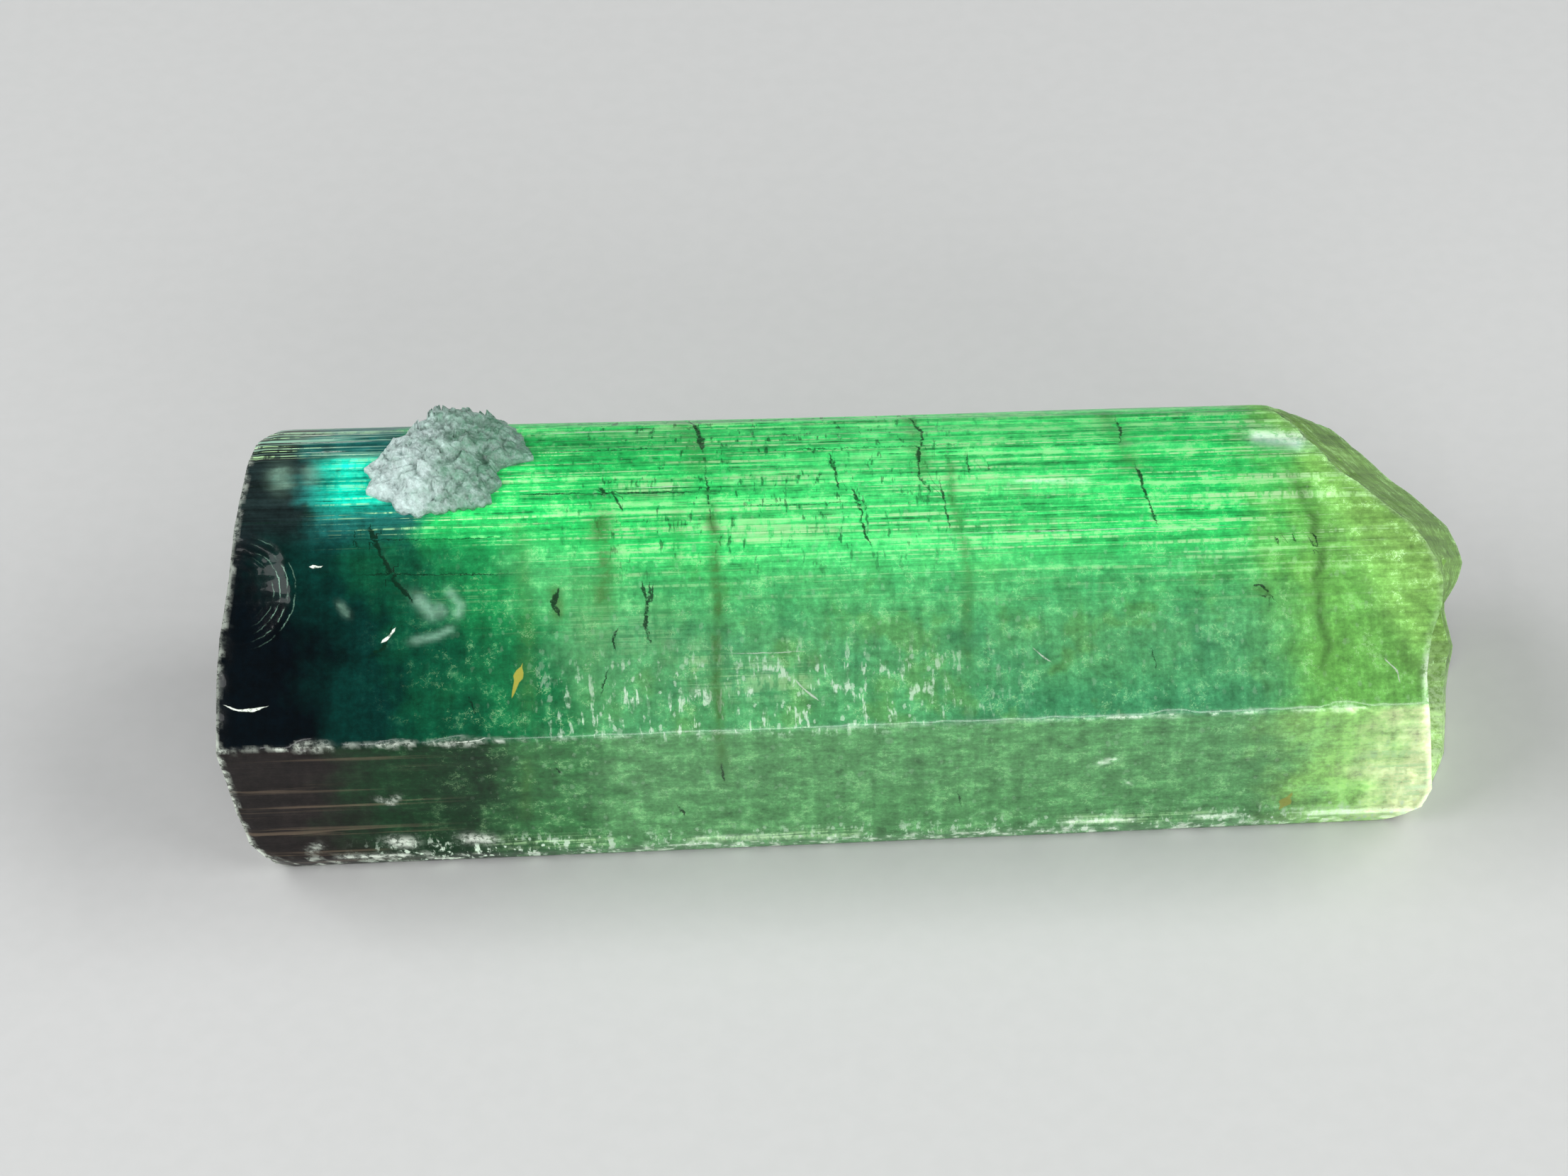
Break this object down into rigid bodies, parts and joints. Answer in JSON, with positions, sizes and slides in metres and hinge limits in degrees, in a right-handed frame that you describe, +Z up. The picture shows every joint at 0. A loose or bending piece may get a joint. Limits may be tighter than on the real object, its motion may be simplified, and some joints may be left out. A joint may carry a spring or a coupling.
{
  "type": "tourmaline crystal",
  "caption": "Loose bicolour green tourmaline crystal lying on a prism face, dark and broken at one end, pale and slanting at the other, with a grain of white albite.",
  "frame": {"origin": "on the surface that the crystal rests on, under the middle of its bounding box", "axes": "+X along the prism from the dark broken base to the pale termination, -Y towards the long ridge between the two broad front faces, +Z up"},
  "size_m": [0.0452, 0.0146, 0.0129],
  "materials": {
    "tourmaline": "clear, glossy and striated, colour from blue-black through green to yellow-green",
    "albite": "sugary, dull white"
  },
  "bodies": {
    "root": {"albite_grain": "albite", "tourmaline_crystal": "tourmaline"}
  },
  "joints": []
}
